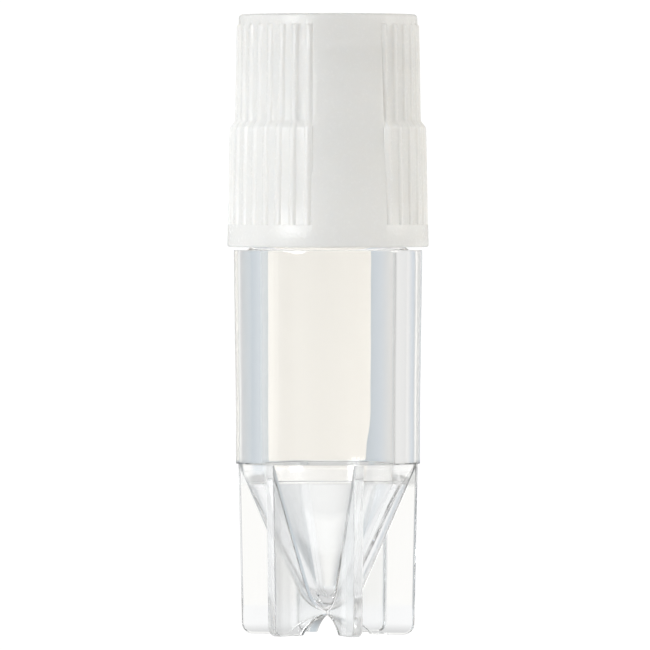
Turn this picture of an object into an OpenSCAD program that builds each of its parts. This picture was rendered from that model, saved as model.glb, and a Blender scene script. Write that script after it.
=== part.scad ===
// Self-standing cryogenic vial: a clear moulded tube with a hollow conical bottom on a
// six-fin foot, a screw cap that threads over the outside of the neck, and the soft
// washer inside the cap that seals on the neck's rim.
// Millimetres, +Z up, origin in the middle of the foot on the surface it stands on.

/* [Tube] */
// Outside diameter of the tube under its shoulder
tube_d = 12.56; // [12.5:0.02:13.4]
// How much narrower the tube is at its lower edge
tube_taper = 0.28; // [0:0.02:0.4]
// Height of the tube's lower edge above the feet
tube_bottom_z = 11.37; // [10.8:0.1:13]
// Height of the shoulder that the cap closes down to
shoulder_z = 25.6; // [22:0.1:40]
// Height of the straight land below the shoulder, where the tube has no draft
land_h = 0.5; // [0.4:0.1:1]
// Height of the straight stretch at the tube's lower end
straight_h = 3.6; // [1:0.2:6]
// Rounding of the tube's edges
edge_r = 0.06; // [0.04:0.01:0.2]

/* [Bore] */
// Diameter of the bore at the mouth
bore_d = 9.1; // [8.4:0.05:9.3]
// How much narrower the bore is where the cone begins
bore_taper = 0.2; // [0.05:0.05:0.4]
// Radius that blends the bore into the cone
bore_blend_r = 0.6; // [0.3:0.1:8]
// Widening of the bore at the rim
mouth_chamfer = 0.12; // [0.05:0.01:0.2]

/* [Conical bottom] */
// Half angle of the cone
cone_angle = 23.5; // [23:0.5:28]
// Outside radius of the cone's rounded tip
tip_r = 2.56; // [2:0.1:3.2]
// Thickness of the cone's wall
cone_wall = 1.0; // [0.7:0.05:1.4]
// Width of the ledge under the tube, outside the cone
ledge_w = 0.15; // [0.05:0.05:0.4]

/* [Star foot] */
// Number of fins, an even number
fin_count = 6; // [4:2:8]
// Thickness of a fin
fin_t = 0.7; // [0.5:0.05:1]
// Direction of the first fin, in degrees from +X
fin_turn = -10; // [-30:5:30]
// How far a fin's outer edge lies inside the tube's surface at the top
fin_inset = 0.11; // [0.05:0.01:0.4]
// How much further in a fin's outer edge lies at the feet
fin_lean = 0.22; // [0:0.02:0.5]
// Rounding of a fin's outer bottom corner
foot_corner_r = 0.7; // [0.3:0.1:1.2]
// Radius of the hollow between the feet
arch_r = 2.9; // [2.2:0.1:3.6]
// How far the fins reach below the cone's tip
web_under_tip = 0.15; // [0.05:0.05:0.4]

/* [Neck] */
// Outside diameter of the neck
neck_d = 10.4; // [10.2:0.05:10.5]
// Rounding where the neck meets the shoulder
neck_fillet = 0.3; // [0.1:0.05:0.4]
// Rounding of the rim's outer edge
rim_round = 0.25; // [0.1:0.05:0.3]

/* [Thread] */
// Rise of the thread in one turn
thread_lead = 3.0; // [2.9:0.1:3.6]
// Height of a thread ridge
thread_h = 0.45; // [0.3:0.05:0.5]
// Width of a ridge at its crest
thread_crest_w = 1.0; // [0.6:0.1:1]
// Width of a ridge at its root
thread_root_w = 1.8; // [1.4:0.1:1.8]
// Height of the neck's thread above the shoulder, at the ridge's middle
thread_start = 1.8; // [1.5:0.1:2.5]
// Radial clearance between the cap and the neck
thread_clear = 0.15; // [0.1:0.05:0.2]
// Clearance between the flanks that bear when the cap is closed
flank_clear = 0.12; // [0.08:0.01:0.2]
// Turn over which a ridge rises to its full height, in degrees
thread_fade = 40; // [20:10:60]

/* [Cap] */
// Gap between the closed cap and the shoulder
cap_gap = 0.2; // [0.1:0.05:0.5]
// Height of the cap
cap_h = 15.5; // [14.5:0.1:20]
// Diameter of the cap at its lower edge
skirt_d = 13.42; // [13.3:0.02:14.4]
// Height of the wide lower tier, up to its chamfer
skirt_h = 7.95; // [7.5:0.1:9]
// Height of the plain band below the lower ribs
band_h = 1.5; // [1:0.1:3]
// Height of the chamfer between the tiers
chamfer_h = 0.45; // [0.3:0.05:0.8]
// Diameter over the ribs at the foot of the upper tier
upper_d = 12.42; // [12.3:0.02:13]
// Height of the smooth rim above the upper ribs
rim_h = 0.65; // [0.4:0.05:1.5]
// Draft of the cap's outer faces, in degrees
cap_draft = 1.0; // [0.5:0.1:1.2]
// Rounding of the cap's upper edge
cap_edge_r = 0.25; // [0.1:0.05:0.4]
// Rounding of the cap's lower edge
skirt_edge_r = 0.15; // [0.1:0.05:0.3]
// Widening of the cap's mouth
mouth_lead = 0.3; // [0.1:0.05:0.4]
// Thickness of the cap's top under the recess
top_t = 1.2; // [0.8:0.1:1.6]
// Diameter of the recess in the cap's top
recess_d = 8.6; // [7:0.1:9]
// Depth of the recess in the cap's top
recess_depth = 0.9; // [0.5:0.1:1.2]

/* [Grip ribs] */
// Number of ribs in each of the two groups
rib_count = 15; // [11:1:17]
// Height of a rib above the surface between the ribs
rib_h = 0.13; // [0.08:0.01:0.18]
// Radius of a rib's rounded crest
rib_r = 0.3; // [0.2:0.02:0.34]
// Angle between the ribs on the two sides of a smooth panel
panel_gap = 50.5; // [44:0.5:60]
// Angle that a smooth panel covers
panel_angle = 45; // [36:0.5:45]
// Direction of the first smooth panel, in degrees from +X
panel_turn = -76.75; // [-180:0.25:180]
// Bevel at the upper ends of the ribs
rib_end = 0.15; // [0.1:0.05:0.3]

/* [Seal] */
// Thickness of the washer
washer_t = 1.0; // [0.8:0.1:1.4]
// Inside diameter of the washer
washer_id = 7.6; // [6:0.1:8]
// Clearance between the washer and the cap's wall and boss
washer_clear = 0.06; // [0.04:0.01:0.1]
// Height of the boss that centres the washer
boss_h = 0.75; // [0.4:0.05:0.75]

/* [Hidden] */
$fn = 96;
arc_steps = 10; // straight stretches in an arc of a profile
thread_steps = 60; // stretches in one turn of a thread
over = 0.2; // overlap that joins one solid to the next
past = 1; // how far a cutting solid runs past the face it opens
seam = 0.005; // keeps the faces of joined solids from lying on each other
pad_inset = 0.2; // degrees by which a panel's added part is narrower than its trim
thread_margin = 0.4; // room left beyond the ends of a thread
bevel_reach = 2; // how far the bevel of the ribs is carried on outside them

tube_r = tube_d / 2;
tube_low_r = tube_r - tube_taper / 2;
neck_r = neck_d / 2;

cap_z = shoulder_z + cap_gap;
cap_top_z = cap_z + cap_h;
ceiling_z = cap_top_z - recess_depth - top_t;
rim_z = ceiling_z - washer_t;

// Outer cone: it leaves the tube inside the ledge and ends in a sphere
cone_top_r = tube_low_r - ledge_w;
apex_z = tube_bottom_z - cone_top_r / tan(cone_angle);
tip_centre_z = apex_z + tip_r / sin(cone_angle);
tip_z = tip_centre_z - tip_r;

// Inner cone: the outer one moved in by the wall, met by the tapered bore
bore_r = bore_d / 2;
bore_slope = bore_taper / 2 / (rim_z - tube_bottom_z);
bore_draft = atan(bore_slope);
inner_tip_r = tip_r - cone_wall;
inner_apex_z = tip_centre_z - inner_tip_r / sin(cone_angle);
meet_z = (bore_r - rim_z * bore_slope + inner_apex_z * tan(cone_angle)) / (tan(cone_angle) - bore_slope);
meet_r = (meet_z - inner_apex_z) * tan(cone_angle);
blend_aim = -(cone_angle + bore_draft) / 2;
blend_reach = bore_blend_r / cos((cone_angle - bore_draft) / 2);
blend_r = meet_r - blend_reach * cos(blend_aim);
blend_z = meet_z - blend_reach * sin(blend_aim);

// Star foot
fin_top_r = tube_low_r - fin_inset;
foot_r = fin_top_r - fin_lean;
arch_rise = tip_z - web_under_tip;
arch_circle_r = (arch_r * arch_r + arch_rise * arch_rise) / (2 * arch_rise);

// Cap: outer radii at a height above the cap's lower edge
cap_slope = tan(cap_draft);
upper_start_z = skirt_h + chamfer_h;
rib_top_z = cap_h - rim_h;
band_r = skirt_d / 2 - band_h * cap_slope;
skirt_top_r = skirt_d / 2 - skirt_h * cap_slope;
rim_r = upper_d / 2 - rib_h - (cap_h - upper_start_z) * cap_slope;
skirt_bore_r = neck_r + thread_h + thread_clear;
upper_bore_r = neck_r + thread_clear;
skirt_bore_h = skirt_h + over;
rib_pitch = (180 - panel_gap) / (rib_count - 1);

// Threads: both ridges follow one helix, the cap's set below the neck's
flank_slope = (thread_root_w - thread_crest_w) / 2 / thread_h;
thread_offset = thread_root_w - flank_slope * (thread_h + thread_clear) + flank_clear;
neck_thread_z = shoulder_z + thread_start;
neck_thread_end = cap_z + skirt_bore_h - thread_root_w / 2 - thread_margin;
cap_thread_z = cap_z + thread_root_w / 2 + thread_margin;
cap_thread_end = cap_z + skirt_bore_h - thread_root_w / 2 - over;
cap_thread_turn = 360 * (cap_thread_z - neck_thread_z + thread_offset) / thread_lead;

washer_d = 2 * (upper_bore_r - washer_clear);
boss_d = washer_id - 2 * washer_clear;

// Radius of a smooth panel at a height above the cap's lower edge: it leans from band to rim
function panel_r(z) = band_r + (rim_r - band_r) * (z - band_h) / (cap_h - cap_edge_r - band_h);

// Points along an arc, from one angle to the other
function arc(cx, cy, r, from, to) =
    [for (i = [0:arc_steps]) let (a = from + (to - from) * i / arc_steps) [cx + r * cos(a), cy + r * sin(a)]];

// Spiral ridge of four-sided section that grows from a wall, outwards or inwards
module helix_ridge(wall_r, crest_r, z_from, z_to, turn_from) {
    side = crest_r > wall_r ? 1 : -1;
    turns = (z_to - z_from) / thread_lead;
    n = ceil(turns * thread_steps);
    sunk_r = wall_r - side * over;
    sunk_w = thread_root_w + 2 * flank_slope * over;
    function rise(i) = min(1, i / n * turns * 360 / thread_fade, (n - i) / n * turns * 360 / thread_fade);
    function ring(i) =
        let (a = turn_from + i / n * turns * 360,
             z = z_from + i / n * (z_to - z_from),
             r = wall_r - side * over / 2 + (crest_r - wall_r + side * over / 2) * rise(i))
        [for (p = [[sunk_r, -sunk_w / 2], [r, -thread_crest_w / 2], [r, thread_crest_w / 2], [sunk_r, sunk_w / 2]])
            [p[0] * cos(a), p[0] * sin(a), z + side * p[1]]];
    polyhedron(
        points = [for (i = [0:n]) each ring(i)],
        faces = concat(
            [[3, 2, 1, 0]],
            [for (i = [0:n - 1], k = [0:3]) [4 * i + k, 4 * i + (k + 1) % 4, 4 * i + 4 + (k + 1) % 4, 4 * i + 4 + k]],
            [[4 * n, 4 * n + 1, 4 * n + 2, 4 * n + 3]]
        )
    );
}

// Outside of the tube, neck and cone, filled to the axis
module vial_outside() {
    rotate_extrude()
        polygon(concat(
            arc(0, tip_centre_z, tip_r, -90, -cone_angle),
            [[cone_top_r, tube_bottom_z], [tube_low_r - edge_r, tube_bottom_z]],
            [[tube_low_r, tube_bottom_z + edge_r], [tube_low_r, tube_bottom_z + straight_h]],
            [[tube_r, shoulder_z - land_h]],
            arc(tube_r - edge_r, shoulder_z - edge_r, edge_r, 0, 90),
            arc(neck_r + neck_fillet, shoulder_z + neck_fillet, neck_fillet, -90, -180),
            arc(neck_r - rim_round, rim_z - rim_round, rim_round, 0, 90),
            [[0, rim_z]]
        ));
}

// Hollow of the vial: rounded tip, cone, blend, tapered bore and open mouth
module vial_hollow() {
    rotate_extrude()
        polygon(concat(
            arc(0, tip_centre_z, inner_tip_r, -90, -cone_angle),
            arc(blend_r, blend_z, bore_blend_r, -cone_angle, -bore_draft),
            [[bore_r - mouth_chamfer * bore_slope, rim_z - mouth_chamfer], [bore_r + mouth_chamfer, rim_z]],
            [[bore_r + mouth_chamfer, rim_z + past], [0, rim_z + past]]
        ));
}

// Section of the foot: arch between the feet, rounded corner and leaning outer edge
module foot_section() {
    polygon(concat(
        arc(0, arch_rise - arch_circle_r, arch_circle_r, 90, atan2(arch_circle_r - arch_rise, arch_r)),
        arc(foot_r - foot_corner_r, foot_corner_r, foot_corner_r, -90, 0),
        [[fin_top_r, tube_bottom_z], [fin_top_r, tube_bottom_z + over], [0, tube_bottom_z + over]]
    ));
}

// Plates that cross on the axis, cut to the foot's section
module star_foot() {
    intersection() {
        for (i = [0:fin_count / 2 - 1])
            rotate(fin_turn + i * 360 / fin_count)
                translate([-tube_r, -fin_t / 2, -past])
                    cube([2 * tube_r, fin_t, tube_bottom_z + 2 * past]);
        rotate_extrude()
            foot_section();
    }
}

module vial() {
    color([0.84, 0.88, 0.9, 0.45])
        difference() {
            union() {
                vial_outside();
                star_foot();
                helix_ridge(neck_r, neck_r + thread_h, neck_thread_z, neck_thread_end, 0);
            }
            vial_hollow();
        }
}

// Part of a ring between two directions, with the given section
module ring_sector(middle, angle) {
    rotate(middle - angle / 2)
        rotate_extrude(angle = angle)
            children();
}

// Section of the cap where the ribs stand, filled to the axis: band, step, chamfer, upper tier
module ribbed_section() {
    polygon(concat(
        [[0, 0]],
        arc(skirt_d / 2 - skirt_edge_r, skirt_edge_r, skirt_edge_r, -90, 0),
        [[band_r, band_h], [band_r - rib_h, band_h]],
        [[skirt_top_r - rib_h, skirt_h], [upper_d / 2 - rib_h, upper_start_z]],
        arc(rim_r - cap_edge_r, cap_h - cap_edge_r, cap_edge_r, 0, 90),
        [[0, cap_h]]
    ));
}

// What a smooth panel takes away: all that stands outside its straight taper
module panel_trim() {
    polygon([
        [panel_r(band_h + over), band_h + over],
        [skirt_d / 2 + over, band_h + over],
        [skirt_d / 2 + over, upper_start_z],
        [panel_r(upper_start_z), upper_start_z]
    ]);
}

// What a smooth panel adds above the band, out to the same taper
module panel_pad() {
    polygon([
        [upper_bore_r, band_h - over],
        [band_r - seam, band_h - over],
        [band_r - seam, band_h],
        [rim_r - seam, cap_h - cap_edge_r - seam],
        [upper_bore_r, cap_h - cap_edge_r - seam]
    ]);
}

// One tier of ribs: leaning rods cut off by a bevel at their upper ends
module rib_tier(low_r, z_from, z_to, bevel_in, bevel_h) {
    high_r = low_r - (z_to - bevel_h - z_from) * cap_slope;
    intersection() {
        for (side = [0, 1], i = [0:rib_count - 1])
            rotate(panel_turn + 180 * side + panel_gap / 2 + i * rib_pitch)
                translate([low_r - rib_r, 0, z_from])
                    rotate([0, -cap_draft, 0])
                        cylinder(r = rib_r, h = z_to - z_from, $fn = 32);
        rotate_extrude()
            polygon([
                [0, z_from - past],
                [high_r + bevel_reach, z_from - past],
                [high_r + bevel_reach, z_to - bevel_h - bevel_reach * bevel_h / bevel_in],
                [high_r - bevel_in, z_to],
                [0, z_to]
            ]);
    }
}

// Outside of the cap, from its lower edge at height 0
module cap_outside() {
    difference() {
        union() {
            rotate_extrude()
                ribbed_section();
            rib_tier(
                skirt_d / 2 - (band_h - over) * cap_slope,
                band_h - over,
                upper_start_z,
                skirt_top_r - upper_d / 2,
                chamfer_h
            );
            rib_tier(upper_d / 2 + over * cap_slope, upper_start_z - over, rib_top_z, rib_end, rib_end);
        }
        for (side = [0, 180])
            ring_sector(panel_turn + side, panel_angle)
                panel_trim();
    }
    for (side = [0, 180])
        ring_sector(panel_turn + side, panel_angle - pad_inset)
            panel_pad();
}

// Hollow of the cap: threaded skirt, step and the narrower upper bore
module cap_hollow() {
    rotate_extrude()
        polygon([
            [0, -past],
            [skirt_bore_r + mouth_lead, -past],
            [skirt_bore_r + mouth_lead, 0],
            [skirt_bore_r, mouth_lead],
            [skirt_bore_r, skirt_bore_h],
            [upper_bore_r, skirt_bore_h + skirt_bore_r - upper_bore_r],
            [upper_bore_r, ceiling_z - cap_z],
            [0, ceiling_z - cap_z]
        ]);
}

module cap() {
    color([0.95, 0.95, 0.94]) {
        translate([0, 0, cap_z])
            difference() {
                cap_outside();
                cap_hollow();
                translate([0, 0, cap_h - recess_depth])
                    cylinder(d = recess_d, h = recess_depth + past);
            }
        helix_ridge(skirt_bore_r, skirt_bore_r - thread_h, cap_thread_z, cap_thread_end, cap_thread_turn);
        translate([0, 0, ceiling_z - boss_h])
            cylinder(d = boss_d, h = boss_h + over);
    }
}

module seal_washer() {
    color([0.88, 0.87, 0.84])
        translate([0, 0, rim_z])
            difference() {
                cylinder(d = washer_d, h = washer_t);
                translate([0, 0, -past])
                    cylinder(d = washer_id, h = washer_t + 2 * past);
            }
}

vial();
cap();
seal_washer();
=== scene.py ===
# Cryogenic vial: clear moulded tube on a star foot, milky screw cap, pale seal ring.
# The shape dictionaries are in millimetres and degrees; meshes, looks and studio are in metres.
from math import atan, atan2, ceil, cos, degrees, pi, radians, sin, sqrt, tan

import bmesh
import bpy
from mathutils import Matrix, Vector


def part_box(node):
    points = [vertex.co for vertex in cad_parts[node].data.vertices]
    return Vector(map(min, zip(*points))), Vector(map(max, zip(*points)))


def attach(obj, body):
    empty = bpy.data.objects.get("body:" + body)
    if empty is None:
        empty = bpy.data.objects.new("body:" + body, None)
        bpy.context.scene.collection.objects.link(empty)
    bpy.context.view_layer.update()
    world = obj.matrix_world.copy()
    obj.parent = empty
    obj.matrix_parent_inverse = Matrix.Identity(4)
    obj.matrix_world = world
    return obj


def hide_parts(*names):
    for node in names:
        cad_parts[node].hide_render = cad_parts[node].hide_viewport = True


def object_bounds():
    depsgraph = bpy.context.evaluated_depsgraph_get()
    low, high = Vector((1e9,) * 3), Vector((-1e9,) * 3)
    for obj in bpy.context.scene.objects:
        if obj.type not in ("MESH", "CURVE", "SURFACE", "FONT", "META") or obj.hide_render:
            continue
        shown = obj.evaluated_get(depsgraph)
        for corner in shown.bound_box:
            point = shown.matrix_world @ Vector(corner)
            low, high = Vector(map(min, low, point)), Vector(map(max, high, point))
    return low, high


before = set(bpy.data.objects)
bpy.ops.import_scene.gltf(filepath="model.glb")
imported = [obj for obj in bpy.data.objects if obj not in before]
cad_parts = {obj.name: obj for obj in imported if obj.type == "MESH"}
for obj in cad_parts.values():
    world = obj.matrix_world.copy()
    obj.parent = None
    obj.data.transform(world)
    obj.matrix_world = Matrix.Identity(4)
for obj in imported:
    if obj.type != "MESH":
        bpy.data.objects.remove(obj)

mm = 0.001
tiny = 1e-6  # too small to matter, in millimetres as in metres
cadLow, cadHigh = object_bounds()
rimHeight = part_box("vial")[1].z / mm
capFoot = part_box("cap")[0].z / mm
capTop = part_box("cap")[1].z / mm
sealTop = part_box("seal_washer")[1].z / mm
print("frame loaded: rim at %.2f mm, cap from %.2f to %.2f mm" % (rimHeight, capFoot, capTop))


def clamp(share):
    return min(1, max(0, share))


def eased(share):
    return share * share * (3 - 2 * share)


def arc(cx, cz, radius, start, end, steps):
    turns = [radians(start + (end - start) * i / steps) for i in range(steps + 1)]
    return [(cx + radius * cos(a), cz + radius * sin(a)) for a in turns]


def evenTurns(segments):
    return [2 * pi * i / segments for i in range(segments)]


def meshObject(name, bm):
    mesh = bpy.data.meshes.new(name)
    bm.to_mesh(mesh)
    bm.free()
    piece = bpy.data.objects.new(name, mesh)
    bpy.context.scene.collection.objects.link(piece)
    return piece


def revolve(name, outline, turns, place=None, loop=False):
    # outline points are (radius, height); place(row, turn) may give another radius
    bm = bmesh.new()
    rings = []
    for row, (r, z) in enumerate(outline):
        if r < tiny:
            rings.append([bm.verts.new((0, 0, z * mm))])
            continue
        ring = []
        for a in turns:
            rr = place(row, a) if place else r
            ring.append(bm.verts.new((rr * cos(a) * mm, rr * sin(a) * mm, z * mm)))
        rings.append(ring)
    n = len(turns)
    for low, high in zip(rings, rings[1:] + ([rings[0]] if loop else [])):
        for i in range(n):
            j = (i + 1) % n
            corners = [low[i % len(low)], low[j % len(low)], high[j % len(high)], high[i % len(high)]]
            face = [v for k, v in enumerate(corners) if v not in corners[:k]]
            if len(face) > 2:
                bm.faces.new(face)
    bmesh.ops.recalc_face_normals(bm, faces=bm.faces)
    return meshObject(name, bm)


def plainMesh(piece):
    graph = bpy.context.evaluated_depsgraph_get()
    result = bpy.data.meshes.new_from_object(piece.evaluated_get(graph))
    piece.modifiers.clear()
    piece.data = result
    return piece


def combine(piece, other, operation):
    step = piece.modifiers.new(operation.lower(), "BOOLEAN")
    step.operation = operation
    step.solver = "MANIFOLD"
    step.object = other
    plainMesh(piece)
    bpy.data.objects.remove(other)


def smooth(piece, angle):
    # large faces keep their own direction, and the rounded edges turn between them
    piece.data.shade_smooth()
    piece.data.set_sharp_from_angle(angle=radians(angle))
    step = piece.modifiers.new("weighted", "WEIGHTED_NORMAL")
    step.keep_sharp = True
    return plainMesh(piece)


def wear(piece, material):
    piece.data.materials.clear()
    piece.data.materials.append(material)
    return piece


def newTree(name, sockets):
    tree = bpy.data.node_groups.new(name, "GeometryNodeTree")
    tree.interface.new_socket("Geometry", in_out="INPUT", socket_type="NodeSocketGeometry")
    for label, kind in sockets:
        tree.interface.new_socket(label, in_out="INPUT", socket_type="NodeSocket" + kind)
    tree.interface.new_socket("Geometry", in_out="OUTPUT", socket_type="NodeSocketGeometry")
    return tree, tree.nodes.new("NodeGroupInput")


def finishTree(tree, inputs, geometry):
    # every tree ends in Realize Instances and Set Material
    realize = tree.nodes.new("GeometryNodeRealizeInstances")
    paint = tree.nodes.new("GeometryNodeSetMaterial")
    output = tree.nodes.new("NodeGroupOutput")
    tree.links.new(geometry, realize.inputs[0])
    tree.links.new(realize.outputs[0], paint.inputs["Geometry"])
    tree.links.new(inputs.outputs["Material"], paint.inputs["Material"])
    tree.links.new(paint.outputs[0], output.inputs[0])


def runTree(piece, tree, values):
    step = piece.modifiers.new(tree.name, "NODES")
    step.node_group = tree
    for item in tree.interface.items_tree:
        if item.in_out == "INPUT" and item.name in values:
            step[item.identifier] = values[item.name]
    return plainMesh(piece)


def mathNode(tree, operation, *values):
    node = tree.nodes.new("ShaderNodeMath")
    node.operation = operation
    for slot, value in zip(node.inputs, values):
        if isinstance(value, (int, float)):
            slot.default_value = value
        else:
            tree.links.new(value, slot)
    return node.outputs[0]


def splitXyz(tree, vector):
    split = tree.nodes.new("ShaderNodeSeparateXYZ")
    tree.links.new(vector, split.inputs[0])
    return list(split.outputs)


def fromAxis(tree, x, y):
    # distance from the tube's axis
    return mathNode(tree, "SQRT", mathNode(
        tree, "ADD", mathNode(tree, "MULTIPLY", x, x), mathNode(tree, "MULTIPLY", y, y)))


def newMaterial(name):
    material = bpy.data.materials.new(name)
    material.use_nodes = True
    return material, material.node_tree, material.node_tree.nodes["Principled BSDF"]


def objectPlace(tree):
    return tree.nodes.new("ShaderNodeTexCoord").outputs["Object"]


def objectNoise(tree, stretch, detail=3.0):
    # noise in object space; stretch is its frequency per metre along X, Y and Z
    mapping = tree.nodes.new("ShaderNodeMapping")
    mapping.inputs["Scale"].default_value = stretch
    noise = tree.nodes.new("ShaderNodeTexNoise")
    noise.inputs["Scale"].default_value = 1.0
    noise.inputs["Detail"].default_value = detail
    tree.links.new(objectPlace(tree), mapping.inputs["Vector"])
    tree.links.new(mapping.outputs["Vector"], noise.inputs["Vector"])
    return noise.outputs["Fac"]


def ramp(tree, factor, low, high, lowValue=0.0, highValue=1.0):
    node = tree.nodes.new("ShaderNodeMapRange")
    node.inputs["From Min"].default_value = low
    node.inputs["From Max"].default_value = high
    node.inputs["To Min"].default_value = lowValue
    node.inputs["To Max"].default_value = highValue
    tree.links.new(factor, node.inputs["Value"])
    return node.outputs["Result"]


def colourMix(tree, factor, first, second):
    # each colour is a value or a socket
    mix = tree.nodes.new("ShaderNodeMix")
    mix.data_type = "RGBA"
    tree.links.new(factor, mix.inputs["Factor"])
    for label, colour in (("A", first), ("B", second)):
        if isinstance(colour, tuple):
            mix.inputs[label].default_value = colour
        else:
            tree.links.new(colour, mix.inputs[label])
    return mix.outputs["Result"]


def bump(tree, height, distance, strength, below=None):
    node = tree.nodes.new("ShaderNodeBump")
    node.inputs["Distance"].default_value = distance
    node.inputs["Strength"].default_value = strength
    tree.links.new(height, node.inputs["Height"])
    if below:
        tree.links.new(below, node.inputs["Normal"])
    return node.outputs["Normal"]


# noise keeps near its middle value, so this much of its range is stretched over the whole change
cloudRange = (0.3, 0.65)
grainRange = (0.3, 0.7)


def mottled(tree, shader, look):
    # slow colour drift between two close tones
    cloud = ramp(tree, objectNoise(tree, look["cloud"]), *cloudRange)
    tree.links.new(colourMix(tree, cloud, look["shade"], look["base"]), shader.inputs["Base Color"])


def grainBump(tree, shader, look):
    # fine moulded grain on the surface; the noise is handed back for the gloss
    grain = objectNoise(tree, look["grain"], look["grainDetail"])
    tree.links.new(bump(tree, grain, look["grainDepth"], look["grainStrength"]), shader.inputs["Normal"])
    return grain


def grainGloss(tree, shader, look, grain):
    gloss = ramp(tree, grain, *grainRange, look["roughLow"], look["roughHigh"])
    tree.links.new(gloss, shader.inputs["Roughness"])


def throughWall(tree, shader, look):
    # a thin wall lets part of the light through
    glow = tree.nodes.new("ShaderNodeBsdfTranslucent")
    glow.inputs["Color"].default_value = look["throughColour"]
    mix = tree.nodes.new("ShaderNodeMixShader")
    mix.inputs[0].default_value = look["through"]
    tree.links.new(shader.outputs[0], mix.inputs[1])
    tree.links.new(glow.outputs[0], mix.inputs[2])
    tree.links.new(mix.outputs[0], tree.nodes["Material Output"].inputs["Surface"])
    return glow


clearLook = {
    "tint": (0.982, 0.988, 0.99, 1.0), "ior": 1.585,
    "haze": (500.0, 500.0, 300.0), "hazeRange": (0.35, 0.7), "roughLow": 0.004, "roughHigh": 0.03,
    "footTop": 0.0114, "footBlend": 0.0001, "mistBlend": 0.0003,
    "coreRough": 0.05, "coreReach": 0.0053, "frontRough": 0.09, "frontReach": -0.0036, "frontMatt": 0.25,
    "stepMatt": 0.25, "stepHeight": (0.0098, 0.0101), "stepInside": (0.0042, 0.0046),
    "ripple": (260.0, 260.0, 90.0), "rippleDetail": 2.0, "rippleDepth": 0.00004, "rippleStrength": 0.25,
    "flow": (2200.0, 2200.0, 160.0), "flowDepth": 0.000006, "flowStrength": 0.2,
}


def clearPlastic(look):
    material, tree, shader = newMaterial("clearPolycarbonate")
    shader.inputs["Base Color"].default_value = look["tint"]
    shader.inputs["IOR"].default_value = look["ior"]
    haze = objectNoise(tree, look["haze"])
    haze = ramp(tree, haze, *look["hazeRange"], look["roughLow"], look["roughHigh"])
    x, y, z = splitXyz(tree, objectPlace(tree))
    across = fromAxis(tree, x, y)
    core = (look["coreReach"] - look["mistBlend"], look["coreReach"])
    front = (look["frontReach"], look["frontReach"] + look["mistBlend"])
    # core and front of the foot come out of the mould a little misty, the outer edges stay polished
    foot = ramp(tree, z, look["footTop"] - look["footBlend"], look["footTop"], 1.0, 0.0)
    coreMist = ramp(tree, across, *core, look["coreRough"], 0.0)
    frontMist = ramp(tree, y, *front, look["frontRough"], 0.0)
    mist = mathNode(tree, "MULTIPLY_ADD", foot, mathNode(tree, "MAXIMUM", coreMist, frontMist), haze)
    tree.links.new(mist, shader.inputs["Roughness"])
    # matt skin on the step under the tube and on the front of the foot
    stepMatt = mathNode(tree, "MULTIPLY", ramp(tree, z, *look["stepHeight"], 0.0, look["stepMatt"]),
                        ramp(tree, across, *look["stepInside"]))
    frontMatt = ramp(tree, y, *front, look["frontMatt"], 0.0)
    matt = mathNode(tree, "MULTIPLY", foot, mathNode(tree, "MAXIMUM", stepMatt, frontMatt))
    tree.links.new(mathNode(tree, "SUBTRACT", 1.0, matt), shader.inputs["Transmission Weight"])
    ripple = objectNoise(tree, look["ripple"], look["rippleDetail"])
    ripple = bump(tree, ripple, look["rippleDepth"], look["rippleStrength"])
    flow = bump(tree, objectNoise(tree, look["flow"]), look["flowDepth"], look["flowStrength"], ripple)
    tree.links.new(flow, shader.inputs["Normal"])
    return material


milkyLook = {
    "base": (0.9, 0.895, 0.88, 1.0), "shade": (0.865, 0.86, 0.845, 1.0), "cloud": (180.0, 180.0, 120.0),
    "roughLow": 0.16, "roughHigh": 0.3, "ior": 1.5,
    "grain": (5000.0, 5000.0, 5000.0), "grainDetail": 1.5, "grainDepth": 0.00003, "grainStrength": 0.9,
    "scatter": 0.4, "scatterReach": (0.0012, 0.0011, 0.001),
    "through": 0.55, "throughColour": (0.95, 0.945, 0.93, 1.0),
    # the darker colour and its heights at the cap's top are partly painted shade
    "topShadeColour": (0.83, 0.825, 0.81, 1.0), "topShadeRange": (0.0372, 0.039),
}


def milkyPlastic(look):
    material, tree, shader = newMaterial("milkyPolyethylene")
    mottled(tree, shader, look)
    grainGloss(tree, shader, look, grainBump(tree, shader, look))
    shader.inputs["IOR"].default_value = look["ior"]
    shader.inputs["Subsurface Weight"].default_value = look["scatter"]
    shader.inputs["Subsurface Radius"].default_value = look["scatterReach"]
    shader.inputs["Subsurface Scale"].default_value = 1.0
    glow = throughWall(tree, shader, look)
    # the solid top of the cap is thicker than its skirt; its light let through turns darker there, partly
    # for the thicker wall and partly as painted shade that dims the top
    z = splitXyz(tree, objectPlace(tree))[2]
    topShade = ramp(tree, z, *look["topShadeRange"])
    tree.links.new(colourMix(tree, topShade, look["throughColour"], look["topShadeColour"]), glow.inputs["Color"])
    return material


sealLook = {
    "base": (0.88, 0.87, 0.85, 1.0), "shade": (0.84, 0.83, 0.8, 1.0), "cloud": (400.0, 400.0, 400.0),
    "roughLow": 0.5, "roughHigh": 0.68,
    "grain": (5000.0, 5000.0, 5000.0), "grainDetail": 3.0, "grainDepth": 0.00002, "grainStrength": 0.3,
    "through": 0.5, "throughColour": (0.92, 0.91, 0.89, 1.0),
}


def paleSilicone(look):
    material, tree, shader = newMaterial("paleSilicone")
    mottled(tree, shader, look)
    grainGloss(tree, shader, look, grainBump(tree, shader, look))
    throughWall(tree, shader, look)
    return material


inkLook = {
    "base": (0.9, 0.885, 0.86, 1.0), "shade": (0.875, 0.86, 0.835, 1.0), "cloud": (250.0, 250.0, 90.0),
    "rough": 0.6,
    "grain": (2500.0, 2500.0, 2500.0), "grainDetail": 3.0, "grainDepth": 0.00001, "grainStrength": 0.15,
    "through": 0.78, "throughColour": (0.98, 0.957, 0.925, 1.0),
}


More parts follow.
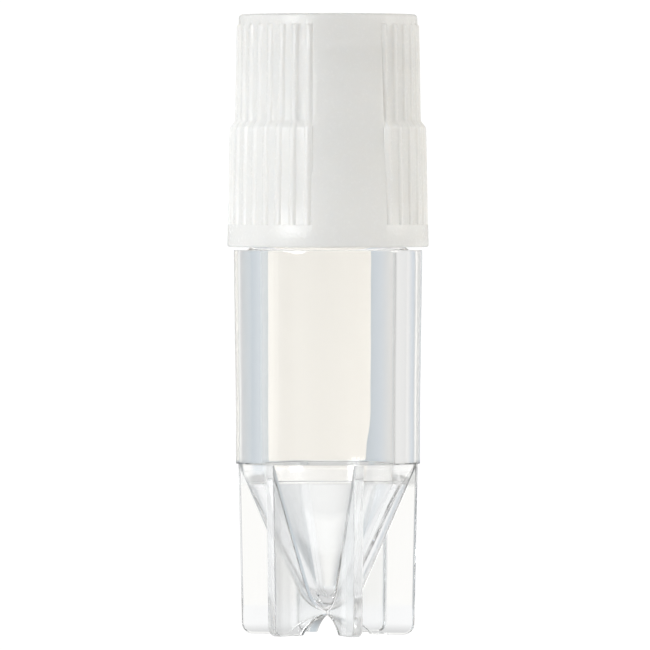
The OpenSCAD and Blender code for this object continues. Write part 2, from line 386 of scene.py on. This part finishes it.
def inkFilm(look):
    material, tree, shader = newMaterial("whiteInk")
    mottled(tree, shader, look)
    shader.inputs["Roughness"].default_value = look["rough"]
    grainBump(tree, shader, look)
    throughWall(tree, shader, look)
    return material


clearMaterial = clearPlastic(clearLook)
milkyMaterial = milkyPlastic(milkyLook)
sealMaterial = paleSilicone(sealLook)
inkMaterial = inkFilm(inkLook)
print("materials made")


# the ridges of neck and cap follow one helix, the cap's a little under the neck's
threadShape = {
    "lead": 3.0, "height": 0.45, "crestWidth": 1.0, "rootWidth": 1.8, "sunk": 0.2,
    "crestEase": 0.12, "easeMiddle": (0.3, 0.1),
    "start": 1.8, "margin": 0.4, "fade": 40.0, "fadeDip": 0.1, "stepsPerTurn": 72,
    "clearance": 0.15, "flankClearance": 0.12, "boreHeight": 8.15,
}
flankSlope = (threadShape["rootWidth"] - threadShape["crestWidth"]) / 2 / threadShape["height"]


def ridgeSection(side):
    # closed trapezoid with a rounded crest, drawn as (outward, upward) from the wall
    tall, ease, sunk = threadShape["height"], threadShape["crestEase"], threadShape["sunk"]
    crest = threadShape["crestWidth"] / 2
    back, inward = threadShape["easeMiddle"]
    half = [
        (-sunk, threadShape["rootWidth"] / 2 + flankSlope * sunk), (tall - ease, crest + flankSlope * ease),
        (tall - ease * back, crest - ease * inward), (tall, crest - ease)]
    return [(side * x, z) for x, z in half] + [(side * x, -z) for x, z in reversed(half)]


def threadRidge(name, wallRadius, side, fromHeight, toHeight, firstTurn, material):
    # swept ring by ring so that the flanks stay square to the axis; side is 1 on the outside of a wall
    # and -1 on its inside, and at both ends the ridge sinks back into the wall
    shape = threadShape
    turns = (toHeight - fromHeight) / shape["lead"]
    count = ceil(turns * shape["stepsPerTurn"])
    fadeShare = shape["fade"] / 360 / turns
    dip = shape["fadeDip"]
    section = ridgeSection(side)
    bm = bmesh.new()
    rings = []
    for i in range(count + 1):
        share = i / count
        grown = eased(min(1, share / fadeShare, (1 - share) / fadeShare))
        a = radians(firstTurn) + share * turns * 2 * pi
        z = fromHeight + share * (toHeight - fromHeight)
        ring = []
        for out, up in section:
            kept = out if out * side < 0 else side * (-dip + (abs(out) + dip) * grown)
            r = wallRadius + kept
            ring.append(bm.verts.new((r * cos(a) * mm, r * sin(a) * mm, (z + up) * mm)))
        rings.append(ring)
    n = len(section)
    for low, high in zip(rings, rings[1:]):
        for k in range(n):
            bm.faces.new([low[k], low[(k + 1) % n], high[(k + 1) % n], high[k]])
    bm.faces.new(rings[0])
    bm.faces.new(list(reversed(rings[-1])))
    bmesh.ops.recalc_face_normals(bm, faces=bm.faces)
    return wear(meshObject(name, bm), material)


vialShape = {
    "tubeWidth": 12.56, "tubeTaper": 0.28, "tubeFoot": 11.37, "straight": 3.6, "edgeRound": 0.03,
    "shoulder": 25.6, "landHeight": 0.5,
    "boreWidth": 9.1, "boreTaper": 0.2, "boreBlend": 0.3, "coreLine": 0.045, "mouthChamfer": 0.12,
    "coneAngle": 23.5, "tipRadius": 2.56, "coneWall": 1.0, "ledge": 0.15,
    "neckWidth": 10.4, "neckFillet": 0.3, "rimRound": 0.25, "cutPast": 1.0,
    "segments": 224, "smoothAngle": 28,
}
tubeRadius = vialShape["tubeWidth"] / 2
tubeFootRadius = tubeRadius - vialShape["tubeTaper"] / 2
neckRadius = vialShape["neckWidth"] / 2
capBore = neckRadius + threadShape["height"] + threadShape["clearance"]
neckThreadStart = vialShape["shoulder"] + threadShape["start"]
coneSlope = tan(radians(vialShape["coneAngle"]))
coneSine = sin(radians(vialShape["coneAngle"]))
coneTopRadius = tubeFootRadius - vialShape["ledge"]
tipCentre = vialShape["tubeFoot"] - coneTopRadius / coneSlope + vialShape["tipRadius"] / coneSine
tipHeight = tipCentre - vialShape["tipRadius"]


def tubeWall(z):
    # outer radius of the tube: straight at the lower end, then drafted up to the land
    low = vialShape["tubeFoot"] + vialShape["straight"]
    high = vialShape["shoulder"] - vialShape["landHeight"]
    return tubeFootRadius + (tubeRadius - tubeFootRadius) * clamp((z - low) / (high - low))


def vialOutline():
    shape = vialShape
    edge, foot, top = shape["edgeRound"], shape["tubeFoot"], shape["shoulder"]
    fillet, rim = shape["neckFillet"], shape["rimRound"]
    return (
        [(0, tipHeight)]
        + arc(0, tipCentre, shape["tipRadius"], -90, -shape["coneAngle"], steps=14)[1:]
        + [(coneTopRadius, foot)]
        + arc(tubeFootRadius - edge, foot + edge, edge, -90, 0, steps=4)
        + [(tubeFootRadius, foot + shape["straight"]), (tubeRadius, top - shape["landHeight"])]
        + arc(tubeRadius - edge, top - edge, edge, 0, 90, steps=5)
        + arc(neckRadius + fillet, top + fillet, fillet, -90, -180, steps=6)
        + arc(neckRadius - rim, rimHeight - rim, rim, 0, 90, steps=6)
        + [(0, rimHeight)]
    )


def hollowOutline():
    # the bore, its cone and round tip, and a stretch past the rim for a clean cut
    shape = vialShape
    mouth, blend = shape["boreWidth"] / 2, shape["boreBlend"]
    slope = shape["boreTaper"] / 2 / (rimHeight - shape["tubeFoot"])
    tip = shape["tipRadius"] - shape["coneWall"]
    apex = tipCentre - tip / coneSine
    # the blend between bore and cone has its centre on the line that halves their corner
    meet = (mouth - rimHeight * slope + apex * coneSlope) / (coneSlope - slope)
    draft = degrees(atan(slope))
    aim = radians(-(shape["coneAngle"] + draft) / 2)
    reach = blend / cos(radians((shape["coneAngle"] - draft) / 2))
    cx, cz = (meet - apex) * coneSlope - reach * cos(aim), meet - reach * sin(aim)
    chamfer, past = shape["mouthChamfer"], rimHeight + shape["cutPast"]
    # the parting of the two core pins leaves a fine line where the cone begins
    line = shape["coreLine"]
    joint = cz + blend * sin(radians(-draft)) + line
    wall = mouth - (rimHeight - joint) * slope
    return (
        [(0, tipCentre - tip)]
        + arc(0, tipCentre, tip, -90, -shape["coneAngle"], steps=12)[1:]
        + arc(cx, cz, blend, -shape["coneAngle"], -draft, steps=8)
        + [(wall, joint), (wall + line, joint + line), (wall, joint + 2 * line)]
        + [(mouth - chamfer * slope, rimHeight - chamfer), (mouth + chamfer, rimHeight)]
        + [(mouth + chamfer, past), (0, past)]
    )


footShape = {
    "count": 6, "turn": -10.0, "thick": 0.7, "inset": 0.11, "lean": 0.22,
    "cornerRadius": 0.7, "archRadius": 2.9, "webUnderTip": 0.15, "edgeRound": 0.11, "intoTube": 0.2,
}


def bladeOutline():
    # one side of the foot's section: arch, rounded corner and leaning outer edge;
    # the arch's radius follows from its half width and its rise
    shape = footShape
    rise = tipHeight - shape["webUnderTip"]
    arch = (shape["archRadius"] ** 2 + rise ** 2) / (2 * rise)
    topRadius = tubeFootRadius - shape["inset"]
    footRadius = topRadius - shape["lean"]
    corner = shape["cornerRadius"]
    endAngle = degrees(atan2(arch - rise, shape["archRadius"]))
    return (
        arc(0, rise - arch, arch, 90, endAngle, steps=14)
        + arc(footRadius - corner, corner, corner, -90, 0, steps=8)
        + [(topRadius, vialShape["tubeFoot"]), (topRadius, vialShape["tubeFoot"] + shape["intoTube"])]
    )


def footBlade():
    # a plate right across the axis, that is two fins, with rounded outer edges
    half = bladeOutline()
    outline = half + [(-x, z) for x, z in reversed(half[1:])]
    thick = footShape["thick"] * mm
    bm = bmesh.new()
    front = [bm.verts.new((x * mm, -thick / 2, z * mm)) for x, z in outline]
    back = [bm.verts.new((x * mm, thick / 2, z * mm)) for x, z in outline]
    n = len(outline)
    bm.faces.new(front)
    bm.faces.new(list(reversed(back)))
    for i in range(n):
        bm.faces.new([front[i], back[i], back[(i + 1) % n], front[(i + 1) % n]])
    bmesh.ops.recalc_face_normals(bm, faces=bm.faces)
    top = vialShape["tubeFoot"] * mm - tiny
    rims = [e for e in bm.edges
            if abs(e.verts[0].co.y - e.verts[1].co.y) < tiny and min(v.co.z for v in e.verts) < top]
    bmesh.ops.bevel(
        bm, geom=rims, offset=footShape["edgeRound"] * mm, segments=3, profile=0.5, affect="EDGES")
    return meshObject("footBlade", bm)


def starTree():
    # turns the blade about the axis and welds the turned copies
    tree, inputs = newTree("starFoot", [
        ("Blade count", "Int"), ("First turn", "Float"), ("Material", "Material")])
    points = tree.nodes.new("GeometryNodePoints")
    tree.links.new(inputs.outputs["Blade count"], points.inputs["Count"])
    index = tree.nodes.new("GeometryNodeInputIndex").outputs[0]
    pitch = mathNode(tree, "DIVIDE", pi, inputs.outputs["Blade count"])
    turn = mathNode(tree, "MULTIPLY_ADD", index, pitch, inputs.outputs["First turn"])
    spin = tree.nodes.new("ShaderNodeCombineXYZ")
    tree.links.new(turn, spin.inputs[2])
    place = tree.nodes.new("GeometryNodeInstanceOnPoints")
    tree.links.new(points.outputs[0], place.inputs["Points"])
    tree.links.new(inputs.outputs["Geometry"], place.inputs["Instance"])
    tree.links.new(spin.outputs[0], place.inputs["Rotation"])
    weld = tree.nodes.new("GeometryNodeMeshBoolean")
    weld.operation = "UNION"
    weld.solver = "MANIFOLD"
    tree.links.new(place.outputs[0], weld.inputs["Mesh 2"])
    finishTree(tree, inputs, weld.outputs[0])
    return tree


def makeVial():
    turns = evenTurns(vialShape["segments"])
    body = wear(revolve("vialBody", vialOutline(), turns), clearMaterial)
    foot = runTree(footBlade(), starTree(), {
        "Blade count": footShape["count"] // 2, "First turn": radians(footShape["turn"]),
        "Material": clearMaterial})
    combine(body, foot, "UNION")
    end = capFoot + threadShape["boreHeight"] - threadShape["rootWidth"] / 2 - threadShape["margin"]
    thread = threadRidge("neckThread", neckRadius, 1, neckThreadStart, end, 0.0, clearMaterial)
    combine(body, thread, "UNION")
    hollow = wear(revolve("vialHollow", hollowOutline(), turns), clearMaterial)
    combine(body, hollow, "DIFFERENCE")
    return smooth(wear(body, clearMaterial), vialShape["smoothAngle"])


vial = makeVial()
print("vial: %d faces" % len(vial.data.polygons))


# the marking patch is a film of white ink on the back of the tube;
# its azimuths are counted from +Y towards +X, and its rows crowd towards both ends
patchShape = {
    "start": -65.8, "end": 38.2, "low": 11.44, "high": 25.35, "film": 0.02, "gap": 0.01,
    "cornerRound": 0.3, "waveFrom": 14.6, "waveTo": 12.0, "wave": 5.0,
    "columns": 64, "rows": 44, "crowding": 0.8, "smoothAngle": 40,
}


def patchRow(bm, z, depth):
    # points round the tube, short of the rounded corners; the right-hand edge waves in low down
    shape, corner = patchShape, patchShape["cornerRound"]
    r = tubeWall(z) + depth
    near = max(0, corner - min(z - shape["low"], shape["high"] - z))
    cut = degrees((corner - sqrt(corner ** 2 - near ** 2)) / r)
    sway = eased(clamp((shape["waveFrom"] - z) / (shape["waveFrom"] - shape["waveTo"]))) * shape["wave"]
    span = shape["end"] - shape["start"] - sway - 2 * cut
    row = []
    for i in range(shape["columns"] + 1):
        a = radians(shape["start"] + cut + span * i / shape["columns"])
        row.append(bm.verts.new((r * sin(a) * mm, r * cos(a) * mm, z * mm)))
    return row


def gridBorder(grid):
    inner = grid[1:-1]
    return (grid[0] + [row[-1] for row in inner] + list(reversed(grid[-1]))
            + [row[0] for row in reversed(inner)])


def makePatch():
    shape = patchShape
    shares = [j / shape["rows"] for j in range(shape["rows"] + 1)]
    tall = shape["high"] - shape["low"]
    heights = [shape["low"] + tall * (t - sin(2 * pi * t) / (2 * pi) * shape["crowding"]) for t in shares]
    bm = bmesh.new()
    layers = []
    for depth in (shape["gap"], shape["gap"] + shape["film"]):
        layers.append([patchRow(bm, z, depth) for z in heights])
    for grid in layers:
        for low, high in zip(grid, grid[1:]):
            for i in range(shape["columns"]):
                bm.faces.new([low[i], low[i + 1], high[i + 1], high[i]])
    inner, outer = [gridBorder(grid) for grid in layers]
    for k in range(len(inner)):
        n = (k + 1) % len(inner)
        bm.faces.new([inner[k], inner[n], outer[n], outer[k]])
    bmesh.ops.recalc_face_normals(bm, faces=bm.faces)
    return smooth(wear(meshObject("markingPatch", bm), inkMaterial), shape["smoothAngle"])


patch = makePatch()
print("marking patch made")


# rootEase, stepEase and upperEase soften corners of the wall: (outward, upward) from each corner
capShape = {
    "skirtWidth": 13.42, "skirtHeight": 7.95, "bandHeight": 1.5, "chamferHeight": 0.45,
    "upperWidth": 12.42, "rimHeight": 0.65, "draft": 1.0, "topRound": 0.25, "footRound": 0.15,
    "ledgeRound": 0.05, "ledgeMiddle": 0.3, "topThick": 1.2,
    "recessWidth": 8.6, "recessDepth": 0.9, "recessRound": 0.15,
    "mouthLead": 0.3, "bossHeight": 0.75, "bossWidth": 7.48, "bossChamfer": 0.1,
    "skirtRows": (1.5, 3.5), "upperRows": (2.0, 4.0), "stepBlend": 0.12, "chamferShares": (0.25, 0.8),
    "rootEase": ((0.01, 0.005), (0.0, 0.03)), "stepEase": (-0.03, 0.015), "upperEase": (0.008, 0.01),
    "smoothAngle": 38,
}
ribShape = {
    "count": 15, "height": 0.13, "radius": 0.3, "panelGap": 50.5, "panelAngle": 45.0, "panelTurn": -76.75,
    "footShare": 0.62, "endBevel": 0.15, "endShare": 0.6,
    "acrossRib": (0, 0.6, 1.2, 1.75, 2.15, 2.5), "panelEdge": (0.12, 0.5, 1.5), "panelColumns": 12,
}
capTall = capTop - capFoot


def capInside():
    # (radius, height) from the washer boss out and down to the mouth
    shape = capShape
    ceiling = capTall - shape["recessDepth"] - shape["topThick"]
    bossFoot = ceiling - shape["bossHeight"]
    boss, chamfer, lead = shape["bossWidth"] / 2, shape["bossChamfer"], shape["mouthLead"]
    neck, boreTop = neckRadius + threadShape["clearance"], threadShape["boreHeight"]
    return [
        (0, bossFoot), (boss - chamfer, bossFoot), (boss, bossFoot + chamfer), (boss, ceiling),
        (neck, ceiling), (neck, boreTop + capBore - neck), (capBore, boreTop), (capBore, lead),
        (capBore + lead, 0)]


def capWall():
    # (radius, height, panel share, rib share) from the plain band up to the top of the ribs,
    # and the radius of the wall at the band and at the rim
    shape, rib, bevel = capShape, ribShape["height"], ribShape["endBevel"]
    slope = tan(radians(shape["draft"]))
    band, step, ledge = shape["bandHeight"], shape["skirtHeight"], shape["ledgeRound"]
    upperStart = step + shape["chamferHeight"]
    ribTop = capTall - shape["rimHeight"]
    skirt, upper, blend = shape["skirtWidth"] / 2, shape["upperWidth"] / 2, shape["stepBlend"]

    def lowerLine(z):
        return skirt - z * slope

    def upperLine(z):
        return upper - (z - upperStart) * slope

    middle = ledge * shape["ledgeMiddle"]
    rows = [(lowerLine(band - ledge), band - ledge, 0, 0), (lowerLine(band) - middle, band - middle, 1, 0)]
    rows += [(lowerLine(band) - ledge, band, 1, ribShape["footShare"])]
    rows += [(lowerLine(band) - rib + out, band + up, 1, 1) for out, up in shape["rootEase"]]
    heights = [band + up for up in shape["skirtRows"]] + [step - blend]
    rows += [(lowerLine(z) - rib, z, 1, 1) for z in heights]
    low, high = lowerLine(step) - rib, upper - rib
    chamfer = [(low + (high - low) * k, step + shape["chamferHeight"] * k) for k in shape["chamferShares"]]
    (outLow, upLow), (outHigh, upHigh) = shape["stepEase"], shape["upperEase"]
    rows += [(r, z, 1, 1) for r, z in [(low + outLow, step + upLow)] + chamfer]
    rows += [(high + outHigh, upperStart + upHigh, 1, 1)]
    heights = [upperStart + up for up in (blend, *shape["upperRows"])] + [ribTop - bevel]
    rows += [(upperLine(z) - rib, z, 1, 1) for z in heights]
    rows += [(upperLine(ribTop) - rib, ribTop - bevel / 2, 1, ribShape["endShare"])]
    rows += [(upperLine(ribTop) - rib, ribTop, 1, 0)]
    return rows, lowerLine(band), upperLine(capTall) - rib


def capRows():
    # (radius, height, panel share, rib share) from the boss over the outside to the recess
    shape = capShape
    foot, top, turn = shape["footRound"], shape["topRound"], shape["recessRound"]
    recess, floor = shape["recessWidth"] / 2, capTall - shape["recessDepth"]
    wall, bandRadius, rim = capWall()
    skirtFoot = arc(shape["skirtWidth"] / 2 - foot, foot, foot, -90, 0, steps=5)
    rimRound = arc(rim - top, capTall - top, top, 0, 90, steps=6)
    inside = arc(recess + turn, capTall - turn, turn, 90, 180, steps=4)
    inside += arc(recess - turn, floor + turn, turn, 0, -90, steps=4) + [(0, floor)]
    rows = [(r, z, 0, 0) for r, z in capInside() + skirtFoot]
    rows += wall
    rows += [(r, z, 1, 0) for r, z in rimRound]
    rows += [(r, z, 0, 0) for r, z in inside]
    return rows, bandRadius, rim


def capTurns():
    # columns: close together on each rib and at the edges of the two smooth panels
    rib = ribShape
    pitch = (180 - rib["panelGap"]) / (rib["count"] - 1)
    acrossRib = [-d for d in reversed(rib["acrossRib"][1:])] + list(rib["acrossRib"])
    ribs = []
    for i in range(rib["count"]):
        middle = rib["panelGap"] / 2 + i * pitch
        ribs += [middle + d for d in acrossRib]
        if i < rib["count"] - 1:
            ribs.append(middle + pitch / 2)
    half, columns = rib["panelAngle"] / 2, rib["panelColumns"]
    edge, near, inner = rib["panelEdge"]
    side = [half - near, half - edge, half + edge]
    panel = [-d for d in reversed(side)]
    panel += [-half + inner + 2 * (half - inner) * k / columns for k in range(columns + 1)] + side
    return [radians(rib["panelTurn"] + start + d) for start in (0, 180) for d in panel + ribs]


def ribTree():
    # pushes the points of the wall outwards where a rib stands, by the rib's own round section
    tree, inputs = newTree("gripRibs", [
        ("Rib count", "Int"), ("Rib height", "Float"), ("Rib radius", "Float"), ("Panel gap", "Float"),
        ("Panel turn", "Float"), ("Material", "Material")])
    get = inputs.outputs

    def calc(operation, *values):
        return mathNode(tree, operation, *values)

    x, y, _ = splitXyz(tree, tree.nodes.new("GeometryNodeInputPosition").outputs[0])
    turn = calc("SUBTRACT", calc("ARCTAN2", y, x), get["Panel turn"])
    half = calc("FLOORED_MODULO", turn, pi)
    lastRib = calc("SUBTRACT", get["Rib count"], 1.0)
    pitch = calc("DIVIDE", calc("SUBTRACT", pi, get["Panel gap"]), lastRib)
    steps = calc("DIVIDE", calc("SUBTRACT", half, calc("DIVIDE", get["Panel gap"], 2.0)), pitch)
    nearest = calc("MAXIMUM", 0.0, calc("MINIMUM", calc("ROUND", steps), lastRib))
    radius = fromAxis(tree, x, y)
    away = calc("MULTIPLY", calc("MULTIPLY", calc("SUBTRACT", steps, nearest), pitch), radius)
    square = calc("MULTIPLY", get["Rib radius"], get["Rib radius"])
    inside = calc("MAXIMUM", 0.0, calc("SUBTRACT", square, calc("MULTIPLY", away, away)))
    crest = calc("ADD", calc("SUBTRACT", get["Rib height"], get["Rib radius"]), calc("SQRT", inside))
    share = tree.nodes.new("GeometryNodeInputNamedAttribute")
    share.data_type = "FLOAT"
    share.inputs["Name"].default_value = "ribShare"
    push = calc("MULTIPLY", calc("MAXIMUM", 0.0, crest), share.outputs["Attribute"])
    offset = tree.nodes.new("ShaderNodeCombineXYZ")
    for slot, along in enumerate((x, y)):
        tree.links.new(calc("MULTIPLY", calc("DIVIDE", along, radius), push), offset.inputs[slot])
    move = tree.nodes.new("GeometryNodeSetPosition")
    tree.links.new(get["Geometry"], move.inputs["Geometry"])
    tree.links.new(offset.outputs[0], move.inputs["Offset"])
    finishTree(tree, inputs, move.outputs[0])
    return tree


def makeCap():
    rows, bandRadius, rim = capRows()
    rib, thread = ribShape, threadShape
    flatFoot = capShape["bandHeight"]
    flatRun = capTall - capShape["topRound"] - flatFoot

    def onPanel(turn):
        away = (degrees(turn) - rib["panelTurn"] + 90) % 180 - 90
        return abs(away) < rib["panelAngle"] / 2

    def place(row, turn):
        # the two smooth panels run in one line from the band to the rim
        r, z, panelShare, _ = rows[row]
        if not (panelShare and onPanel(turn)):
            return r
        run = (z - flatFoot) / flatRun
        flat = bandRadius + (rim - bandRadius) * clamp(run)
        return min(r, flat) if run > 1 else flat

    turns = capTurns()
    shell = revolve("screwCap", [(r, z + capFoot) for r, z, _, _ in rows], turns, place)
    shares = []
    for r, _, _, ribShare in rows:
        shares += [ribShare] if r < tiny else [0 if onPanel(t) else ribShare for t in turns]
    attribute = shell.data.attributes.new("ribShare", "FLOAT", "POINT")
    attribute.data.foreach_set("value", shares)
    runTree(shell, ribTree(), {
        "Rib count": rib["count"], "Rib height": rib["height"] * mm, "Rib radius": rib["radius"] * mm,
        "Panel gap": radians(rib["panelGap"]), "Panel turn": radians(rib["panelTurn"]),
        "Material": milkyMaterial})
    taper = flankSlope * (thread["height"] + thread["clearance"])
    gap = thread["rootWidth"] - taper + thread["flankClearance"]
    start = capFoot + thread["rootWidth"] / 2 + thread["margin"]
    end = capFoot + thread["boreHeight"] - thread["rootWidth"] / 2 - thread["sunk"]
    firstTurn = 360 * (start - neckThreadStart + gap) / thread["lead"]
    combine(shell, threadRidge("capThread", capBore, -1, start, end, firstTurn, milkyMaterial), "UNION")
    return smooth(wear(shell, milkyMaterial), capShape["smoothAngle"])


cap = makeCap()
print("cap: %d faces" % len(cap.data.polygons))


sealShape = {"innerWidth": 7.6, "outerWidth": 10.58, "edgeRound": 0.12, "segments": 128, "smoothAngle": 40}


def makeSeal():
    shape = sealShape
    inner, outer, r = shape["innerWidth"] / 2, shape["outerWidth"] / 2, shape["edgeRound"]
    low, high = rimHeight + r, sealTop - r
    corners = [(outer - r, low), (outer - r, high), (inner + r, high), (inner + r, low)]
    outline = []
    for quarter, (x, z) in enumerate(corners):
        outline += arc(x, z, r, quarter * 90 - 90, quarter * 90, steps=4)
    ring = revolve("sealRing", outline, evenTurns(shape["segments"]), loop=True)
    return smooth(wear(ring, sealMaterial), shape["smoothAngle"])


seal = makeSeal()
print("seal ring made")

for piece, node, body, slotName in (
        (vial, "vial", "vial", "clear_tube"),
        (cap, "cap", "cap", "white_cap"),
        (seal, "seal_washer", "seal", "soft_washer")):
    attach(piece, body)
    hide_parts(node)
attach(patch, "vial")


# a height here is how steeply a look goes up (0 level, 1 straight up), a turn is in radians
# away from straight behind the vial
roomLook = {
    "background": 1.06, "ceiling": (0.15, 0.15, 0.15, 1.0), "ceilingHeight": (0.5, 0.85),
    "upperBack": (0.88, 0.87, 0.85, 1.0), "upperHeight": (0.17, 0.22), "upperTurn": (0.5, 0.7),
    "roomFront": (0.55, 0.55, 0.545, 1.0), "frontTurn": (1.9, 2.2),
}
# what stands round the vial, as (azimuth, colour): azimuth 0 is behind it, positive to the right
roomRing = [
    (-180, (0.35, 0.35, 0.34)), (-150, (0.36, 0.36, 0.36)), (-112, (0.42, 0.42, 0.43)),
    (-98, (0.9, 0.905, 0.91)), (-75, (0.85, 0.87, 0.88)), (-62, (0.68, 0.72, 0.75)),
    (-42, (0.58, 0.635, 0.675)), (-28, (0.6, 0.64, 0.665)), (-10, (0.59, 0.605, 0.615)),
    (-5, (0.6, 0.605, 0.61)), (-3, (0.93, 0.92, 0.9)), (-1.5, (1.05, 1.04, 1.015)),
    (1.5, (1.05, 1.04, 1.015)), (3, (0.93, 0.92, 0.9)), (5, (0.6, 0.61, 0.62)),
    (10, (0.6, 0.645, 0.685)), (16, (0.66, 0.71, 0.76)), (24, (0.77, 0.78, 0.79)),
    (32, (0.87, 0.865, 0.85)), (61, (0.88, 0.875, 0.86)), (67, (0.3, 0.3, 0.295)),
    (105, (0.34, 0.335, 0.325)), (135, (0.43, 0.42, 0.4)), (180, (0.35, 0.35, 0.34)),
]


def makeWorld(look):
    world = bpy.data.worlds.new("softStudio")
    world.use_nodes = True
    tree = world.node_tree
    tree.nodes.clear()
    x, y, z = splitXyz(tree, tree.nodes.new("ShaderNodeTexCoord").outputs["Generated"])
    turn = mathNode(tree, "ARCTAN2", x, y)
    away = mathNode(tree, "ABSOLUTE", turn)
    seen = tree.nodes.new("ShaderNodeLightPath")
    ring = tree.nodes.new("ShaderNodeValToRGB")
    tree.links.new(mathNode(tree, "MULTIPLY_ADD", turn, 1 / (2 * pi), 0.5), ring.inputs[0])
    stops = ring.color_ramp.elements
    for azimuth, colour in roomRing[1:-1]:
        stops.new(azimuth / 360 + 0.5).color = (*colour, 1)
    stops[0].color = (*roomRing[0][1], 1)
    stops[-1].color = (*roomRing[-1][1], 1)
    # behind the vial the wall gets lighter a little way up
    behind = ramp(tree, away, *look["upperTurn"], 1.0, 0.0)
    lighter = mathNode(tree, "MULTIPLY", ramp(tree, z, *look["upperHeight"]), behind)
    colour = colourMix(tree, lighter, ring.outputs["Color"], look["upperBack"])
    # what comes through clear plastic meets a paler room in front of the vial
    paler = ramp(tree, away, *look["frontTurn"])
    paler = mathNode(tree, "MULTIPLY", seen.outputs["Is Transmission Ray"], paler)
    colour = colourMix(tree, paler, colour, look["roomFront"])
    colour = colourMix(tree, ramp(tree, z, *look["ceilingHeight"]), colour, look["ceiling"])
    room = tree.nodes.new("ShaderNodeBackground")
    tree.links.new(colour, room.inputs["Color"])
    plain = tree.nodes.new("ShaderNodeBackground")
    plain.inputs["Color"].default_value = (1, 1, 1, 1)
    plain.inputs["Strength"].default_value = look["background"]
    choose = tree.nodes.new("ShaderNodeMixShader")
    tree.links.new(seen.outputs["Is Camera Ray"], choose.inputs[0])
    tree.links.new(room.outputs[0], choose.inputs[1])
    tree.links.new(plain.outputs[0], choose.inputs[2])
    output = tree.nodes.new("ShaderNodeOutputWorld")
    tree.links.new(choose.outputs[0], output.inputs[0])
    bpy.context.scene.world = world


# the floor's glow is painted darker within near of the axis and fades out by far: a painted shadow under
# the vial
floorLook = {"radius": 0.045, "near": 0.006, "far": 0.016, "shadowGlow": 0.72, "farGlow": 0.97, "rough": 0.9}


def makeFloor(look):
    bm = bmesh.new()
    bmesh.ops.create_circle(bm, cap_ends=True, segments=128, radius=look["radius"])
    floor = meshObject("studioFloor", bm)
    material, tree, shader = newMaterial("paleFloor")
    shader.inputs["Base Color"].default_value = (0, 0, 0, 1)
    shader.inputs["Roughness"].default_value = look["rough"]
    shader.inputs["Specular IOR Level"].default_value = 0.0
    shader.inputs["Emission Color"].default_value = (1, 1, 1, 1)
    # white to the camera; through the clear plastic it shows a painted shadow, its glow darker under the
    # vial
    away = tree.nodes.new("ShaderNodeVectorMath")
    away.operation = "LENGTH"
    tree.links.new(objectPlace(tree), away.inputs[0])
    paintedShadow = ramp(tree, away.outputs["Value"], look["near"], look["far"], look["shadowGlow"], look["farGlow"])
    seen = tree.nodes.new("ShaderNodeLightPath")
    white = mathNode(tree, "MULTIPLY", seen.outputs["Is Camera Ray"], roomLook["background"])
    tree.links.new(mathNode(tree, "MAXIMUM", paintedShadow, white), shader.inputs["Emission Strength"])
    wear(floor, material)


# seenThrough: the lamp shows through the clear plastic; mirrored: it shows in glossy faces
lamps = {
    "key": {
        "place": (-0.44, -0.37, 0.22), "size": 0.28, "power": 1.5, "colour": (0.96, 0.985, 1.0),
        "seenThrough": True, "mirrored": True,
    },
    "back": {
        "place": (-0.26, 0.43, 0.09), "size": 0.3, "power": 2.25, "colour": (1.0, 0.99, 0.96),
        "seenThrough": False, "mirrored": False,
    },
    "fill": {
        "place": (-0.36, -0.46, 0.255), "size": 0.4, "power": 2.9, "colour": (0.98, 0.99, 1.0),
        "seenThrough": False, "mirrored": True,
    },
    "side": {
        "place": (0.59, 0.04, 0.1), "size": 0.3, "power": 2.75, "colour": (1.0, 0.985, 0.95),
        "seenThrough": False, "mirrored": False,
    },
    "glint": {
        "place": (0.58, 0.0, 0.215), "size": 0.3, "power": 1.1, "colour": (1.0, 0.985, 0.95),
        "seenThrough": False, "mirrored": True,
    },
}


def makeLamp(name, look):
    light = bpy.data.lights.new(name + "Light", "AREA")
    light.shape = "DISK"
    light.size = look["size"]
    light.energy = look["power"]
    light.color = look["colour"]
    lamp = bpy.data.objects.new(name + "Light", light)
    lamp.location = look["place"]
    middle = Vector((0, 0, (cadLow.z + cadHigh.z) / 2))
    lamp.rotation_euler = (lamp.location - middle).to_track_quat("Z", "Y").to_euler()
    lamp.visible_transmission = look["seenThrough"]
    lamp.visible_glossy = look["mirrored"]
    bpy.context.scene.collection.objects.link(lamp)


cameraLook = {
    "distance": 0.65, "height": 0.030, "aimHeight": 0.0206, "side": -0.0002, "lens": 540.0, "sensor": 36.0,
    "clipEnd": 20.0,
}


def makeCamera(look):
    lens = bpy.data.cameras.new("studioCamera")
    lens.lens = look["lens"]
    lens.sensor_width = look["sensor"]
    lens.clip_end = look["clipEnd"]
    camera = bpy.data.objects.new("studioCamera", lens)
    camera.location = (look["side"], -look["distance"], look["height"])
    aim = Vector((look["side"], 0, look["aimHeight"])) - camera.location
    camera.rotation_euler = aim.to_track_quat("-Z", "Y").to_euler()
    bpy.context.scene.collection.objects.link(camera)
    bpy.context.scene.camera = camera


makeWorld(roomLook)
makeFloor(floorLook)
for name, look in lamps.items():
    makeLamp(name, look)
makeCamera(cameraLook)
scene = bpy.context.scene
scene.view_settings.view_transform = "Standard"
scene.cycles.max_bounces = 32
scene.cycles.transmission_bounces = 32
scene.cycles.glossy_bounces = 16
print("studio made")
